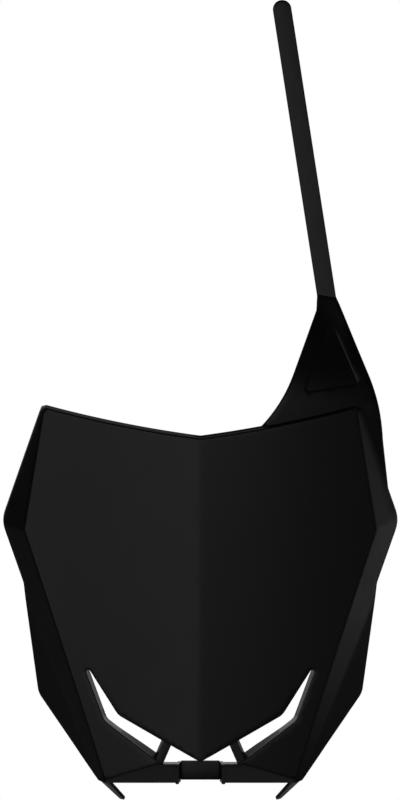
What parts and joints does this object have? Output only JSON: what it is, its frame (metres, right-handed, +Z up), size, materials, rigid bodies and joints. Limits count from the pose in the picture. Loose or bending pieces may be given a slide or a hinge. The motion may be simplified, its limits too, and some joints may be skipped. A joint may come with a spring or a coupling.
{
  "type": "motocross front number plate",
  "caption": "Black moulded front number plate for an off-road motorcycle: V-shaped panel with bevelled wings, two vents, lower hooks and a long flexible strap.",
  "frame": {"origin": "centre of the saddle's rear face, the flat in the middle of the lower bar", "axes": "+Z up along the strap, +Y backwards out of the saddle's rear face, +X to the right as seen from the front"},
  "size_m": [0.2666, 0.0888, 0.5376],
  "materials": {
    "shell_plastic": "satin black polypropylene",
    "strap_plastic": "satin black polypropylene, flexible"
  },
  "bodies": {
    "plate": {"left_cheek": "shell_plastic", "left_hook": "shell_plastic", "left_shoulder": "shell_plastic", "left_side_bevel": "shell_plastic", "left_side_wall": "shell_plastic", "left_strut": "shell_plastic", "left_vent_flange": "shell_plastic", "lower_bar_left": "shell_plastic", "lower_bar_right": "shell_plastic", "number_panel": "shell_plastic", "right_cheek": "shell_plastic", "right_hook": "shell_plastic", "right_shoulder": "shell_plastic", "right_side_bevel": "shell_plastic", "right_side_wall": "shell_plastic", "right_strut": "shell_plastic", "right_vent_flange": "shell_plastic", "saddle": "shell_plastic", "strap_arm": "shell_plastic", "strap_keeper": "shell_plastic", "top_rim": "shell_plastic"},
    "strap_01": {"strap_link_01": "strap_plastic"},
    "strap_02": {"strap_link_02": "strap_plastic"},
    "strap_03": {"strap_link_03": "strap_plastic"},
    "strap_04": {"strap_link_04": "strap_plastic"},
    "strap_05": {"strap_link_05": "strap_plastic"},
    "strap_06": {"strap_link_06": "strap_plastic"},
    "strap_07": {"strap_link_07": "strap_plastic"},
    "strap_08": {"strap_link_08": "strap_plastic"},
    "strap_09": {"strap_link_09": "strap_plastic"},
    "strap_10": {"strap_link_10": "strap_plastic"},
    "strap_11": {"strap_link_11": "strap_plastic"},
    "strap_12": {"strap_link_12": "strap_plastic"}
  },
  "joints": [
    {"name": "strap_bend_01", "type": "hinge", "parent": "plate", "child": "strap_01", "pos_m": [0.0847, 0.0241, 0.3137], "axis": [-0.9882, 0, -0.153], "range_deg": [0, 25], "stiffness_Nm_per_rad": 0.5},
    {"name": "strap_bend_02", "type": "hinge", "parent": "strap_01", "child": "strap_02", "pos_m": [0.08214, 0.0241, 0.33024], "axis": [-0.9882, 0, -0.153], "range_deg": [0, 25]},
    {"name": "strap_bend_03", "type": "hinge", "parent": "strap_02", "child": "strap_03", "pos_m": [0.07958, 0.0241, 0.34677], "axis": [-0.9882, 0, -0.153], "range_deg": [0, 25]},
    {"name": "strap_bend_04", "type": "hinge", "parent": "strap_03", "child": "strap_04", "pos_m": [0.07702, 0.0241, 0.36331], "axis": [-0.9882, 0, -0.153], "range_deg": [0, 25]},
    {"name": "strap_bend_05", "type": "hinge", "parent": "strap_04", "child": "strap_05", "pos_m": [0.07446, 0.0241, 0.37984], "axis": [-0.9882, 0, -0.153], "range_deg": [0, 25]},
    {"name": "strap_bend_06", "type": "hinge", "parent": "strap_05", "child": "strap_06", "pos_m": [0.0719, 0.0241, 0.39638], "axis": [-0.9882, 0, -0.153], "range_deg": [0, 25]},
    {"name": "strap_bend_07", "type": "hinge", "parent": "strap_06", "child": "strap_07", "pos_m": [0.06934, 0.0241, 0.41292], "axis": [-0.9882, 0, -0.153], "range_deg": [0, 25]},
    {"name": "strap_bend_08", "type": "hinge", "parent": "strap_07", "child": "strap_08", "pos_m": [0.06678, 0.0241, 0.42945], "axis": [-0.9882, 0, -0.153], "range_deg": [0, 25]},
    {"name": "strap_bend_09", "type": "hinge", "parent": "strap_08", "child": "strap_09", "pos_m": [0.06422, 0.0241, 0.44599], "axis": [-0.9882, 0, -0.153], "range_deg": [0, 25]},
    {"name": "strap_bend_10", "type": "hinge", "parent": "strap_09", "child": "strap_10", "pos_m": [0.06166, 0.0241, 0.46253], "axis": [-0.9882, 0, -0.153], "range_deg": [0, 25]},
    {"name": "strap_bend_11", "type": "hinge", "parent": "strap_10", "child": "strap_11", "pos_m": [0.0591, 0.0241, 0.47906], "axis": [-0.9882, 0, -0.153], "range_deg": [0, 25]},
    {"name": "strap_bend_12", "type": "hinge", "parent": "strap_11", "child": "strap_12", "pos_m": [0.05654, 0.0241, 0.4956], "axis": [-0.9882, 0, -0.153], "range_deg": [0, 25]}
  ],
  "couplings": [
    {"joint": "strap_bend_02", "follows": "strap_bend_01", "ratio": 1},
    {"joint": "strap_bend_03", "follows": "strap_bend_01", "ratio": 1},
    {"joint": "strap_bend_04", "follows": "strap_bend_01", "ratio": 1},
    {"joint": "strap_bend_05", "follows": "strap_bend_01", "ratio": 1},
    {"joint": "strap_bend_06", "follows": "strap_bend_01", "ratio": 1},
    {"joint": "strap_bend_07", "follows": "strap_bend_01", "ratio": 1},
    {"joint": "strap_bend_08", "follows": "strap_bend_01", "ratio": 1},
    {"joint": "strap_bend_09", "follows": "strap_bend_01", "ratio": 1},
    {"joint": "strap_bend_10", "follows": "strap_bend_01", "ratio": 1},
    {"joint": "strap_bend_11", "follows": "strap_bend_01", "ratio": 1},
    {"joint": "strap_bend_12", "follows": "strap_bend_01", "ratio": 1}
  ]
}
